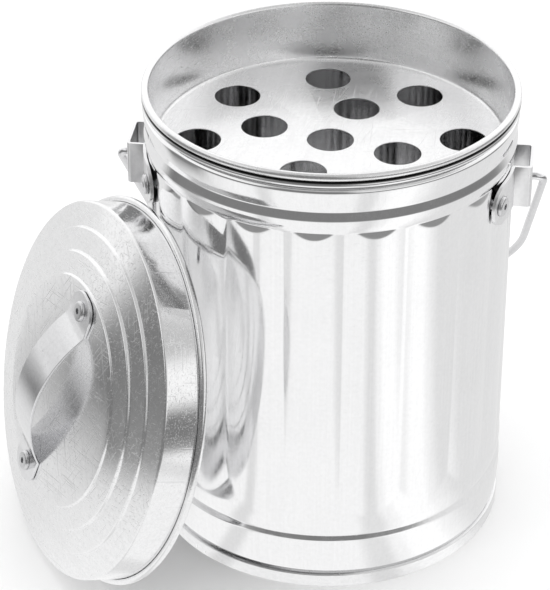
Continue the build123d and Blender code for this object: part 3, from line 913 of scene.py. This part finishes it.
lid_top = lid_skirt + len(lid_ledges) * (ledge_rise + step_rise)
lid_grip = sheet + lap + strap
handle_rivets = lid_outside - sum(lid_ledges) - 7.2 * mm
handle_shift = Vector((-3.6 * mm, -0.9 * mm, lid_top + lap + strap))      # from the lid's middle
handle_turn = Matrix.Rotation(math.radians(90 - 11.0), 4, "Z")
handle_place = lid_place @ Matrix.Translation(handle_shift) @ handle_turn
lid_places = [(handle_place @ Vector((end * handle_rivets, 0, 0)), lid_out) for end in (1, -1)]
print("the handle's rivets are", round(2 * handle_rivets / mm, 1), "mm apart")

# %% Rivet the ears and the handle
ends = [f"{side}_{row}" for side in ("right", "left") for row in ("front", "rear")]
for body, owner, grip, places, ends_named in (
        ("can", "ear", ear_grip, ear_places, ends), ("lid", "lid", lid_grip, lid_places, ["upper", "lower"])):
    for kind, part, slot, finish in (("rivet", rivet(grip), "rivet_aluminium", rivet_aluminium),
                                     ("mandrel", mandrel(grip), "mandrel_steel", mandrel_steel)):
        hand_over(f"{owner}_{kind}s", riveted(part, places, finish), body, slot,
                  [f"{owner}_{kind}_{end}" for end in ends_named])

# %% [markdown]
# ## Studio
#
# Bright metal has hardly any colour of its own: its pattern is the room. In the photograph the can stands on a white
# table, with bright walls to its left and behind it, a bright box high on its right, and a dim room behind the
# photographer. The eaves and valleys of the wall tilt up to that dim side, which is why they show as dark rings and
# lenses, and so do the ledges of the lid.
#
# So the stage has two looks. To the camera, and to the soft light that falls on it, it is one plain pale floor in an
# even pale room. To a mirror-like ray, which the Light Path node can tell, it is the room above: a few smooth zones
# by direction, each made of two eased steps. Painting them is simpler than building walls, and no wall shows in any
# view.

# %% Zones of the room
def compass(wires, across, ahead):
    """Direction in degrees round the can: 0 towards the camera's side, 90 to the right, -90 to the left."""
    return wires.math("DEGREES", wires.math("ARCTAN2", across, wires.times(ahead, -1.0)))


def zone(wires, value, rise_start, rise_end, fall_start, fall_end):
    """1 between two eased steps, and 0 outside them."""
    rise = wires.remap(value, rise_start, rise_end, 0.0, 1.0, "SMOOTHSTEP")
    fall = wires.remap(value, fall_start, fall_end, 1.0, 0.0, "SMOOTHSTEP")
    return wires.times(rise, fall)


def layered(wires, base, zones):
    """Brightness that starts from a base and is pulled towards each zone's own value."""
    for mask, value in zones:
        base = wires.out("ShaderNodeMix", {0: mask, 2: base, 3: value})
    return base


def two_looks(wires, plain, mirrored):
    """Plain shader for the eye, and another one for what the metal mirrors."""
    mirror_ray = wires.add("ShaderNodeLightPath").outputs["Is Glossy Ray"]
    return wires.out("ShaderNodeMixShader", {0: mirror_ray, 1: plain, 2: mirrored})


print("a direction of 0 degrees looks from the can to the camera's side")

# %% Paint the room
white = (1, 1, 1, 1)
world = bpy.data.worlds.new("studio")
world.use_nodes = True
bpy.context.scene.world = world
sky = Wiring(world.node_tree)
towards = sky.add("ShaderNodeSeparateXYZ", {0: sky.add("ShaderNodeTexCoord").outputs["Generated"]}).outputs
bearing, rise = compass(sky, towards["X"], towards["Y"]), towards["Z"]
behind = sky.remap(sky.math("ABSOLUTE", bearing), 108, 140, 0.0, 1.0, "SMOOTHSTEP")
upper = sky.remap(rise, 0.36, 0.5, 0.0, 1.0, "SMOOTHSTEP")
middle = zone(sky, rise, 0.12, 0.25, 0.48, 0.6)
low = sky.remap(rise, 0.12, 0.25, 1.0, 0.0)
ceiling = sky.remap(rise, 0.7, 0.95, 0.0, 1.0, "SMOOTHSTEP")
walls = layered(sky, 1.04, [
    (behind, 1.18),                                                     # wall behind the can
    (zone(sky, bearing, -106, -93, 12, 34), 0.2),                       # the dim room
    (sky.times(upper, zone(sky, bearing, -110, -100, -46, -30)), 1.0),  # bright wall over it, at the left
    (sky.times(upper, zone(sky, bearing, 22, 38, 54, 66)), 0.75),       # grey wall right of the camera
    (sky.times(upper, zone(sky, bearing, 54, 66, 92, 110)), 0.6),       # darker grey over the box
    (sky.times(middle, zone(sky, bearing, 50, 62, 92, 110)), 1.06),     # the bright box
    (sky.times(low, zone(sky, bearing, -106, -93, 112, 134)), 0.22),    # dim edge of the table
    (ceiling, 0.6),
])
even = sky.out("ShaderNodeBackground", {"Color": white, "Strength": 1.06})
room = sky.out("ShaderNodeBackground", {"Color": white, "Strength": walls})
sky.add("ShaderNodeOutputWorld", {0: two_looks(sky, even, room)})
print("the room has", len(world.node_tree.nodes), "nodes")

# %% Lay the floor
floor_size = 12.0              # metres
half = floor_size / 2
floor_mesh = bpy.data.meshes.new("floor")
floor_mesh.from_pydata([(-half, -half, 0), (half, -half, 0), (half, half, 0), (-half, half, 0)], [], [(0, 1, 2, 3)])
floor = placed("floor", floor_mesh)
print("the floor is", floor_size, "m wide")

# %% Paint the floor
floor_paint, paint, spot = new_material("floor_paint")
ground = paint.add("ShaderNodeSeparateXYZ", {0: spot}).outputs
bearing = compass(paint, ground["X"], ground["Y"])
away = paint.add("ShaderNodeVectorMath", {0: spot}, operation="LENGTH").outputs["Value"]
left, front = zone(paint, bearing, -107, -94, -78, -62), zone(paint, bearing, -100, -70, 112, 134)
near, far, farther = [
    paint.remap(away, start, end, 0.0, 1.0, "SMOOTHSTEP") for start, end in ((0.2, 0.42), (0.36, 0.62), (0.6, 1.6))]
table = layered(paint, 0.86, [
    (zone(paint, bearing, -75, -45, 70, 90), 1.01),         # white table in front of the can
    (zone(paint, bearing, -38, -33, -30, -25), 0.81),       # three bands that draw the panels
    (zone(paint, bearing, 18, 25, 29, 35), 0.83),
    (zone(paint, bearing, 35, 42, 52, 60), 1.12),
    (zone(paint, bearing, 57, 75, 150, 170), 0.82),         # its right side
    (paint.times(left, near), 0.2),                         # the dim room begins
    (paint.times(front, far), 0.3),
    (paint.times(front, farther), 0.22),
])
plain = paint.out("ShaderNodeBsdfPrincipled", {"Base Color": (0.95, 0.95, 0.95, 1), "Roughness": 0.9})
mirrored = paint.out("ShaderNodeEmission", {"Color": white, "Strength": table})
paint.add("ShaderNodeOutputMaterial", {0: two_looks(paint, plain, mirrored)})
floor.data.materials.append(floor_paint)
print("the floor's paint has", len(floor_paint.node_tree.nodes), "nodes")


# %% Hang the lamps
def lamp(name, place, target, size, watts, mirrored=False):
    """Soft lamp that the camera doesn't see, and the metal only if it is mirrored."""
    light = bpy.data.lights.new(name, "AREA")
    light.shape, light.size, light.size_y, light.energy = "RECTANGLE", size[0], size[1], watts
    thing = placed(name, light)
    thing.location = place
    thing.rotation_euler = (Vector(target) - Vector(place)).to_track_quat("-Z", "Y").to_euler()
    thing.visible_camera = False
    thing.visible_glossy = mirrored


lamp("top_light", (0.2, 0.1, 1.6), (0, 0, 0), (1.6, 1.6), 6)
lamp("left_light", (-1.4, -0.9, 0.9), (0, 0, 0.1), (0.9, 1.2), 4)
# The daylight that falls through the tray's holes and fills the can after many bounces
lamp("inside_light", (0, 0, 0.155), (0, 0, 0), (0.09, 0.09), 0.009, mirrored=True)
bpy.context.scene.view_settings.view_transform = "Standard"
print("two soft lamps light the floor, and a faint one the inside of the can")
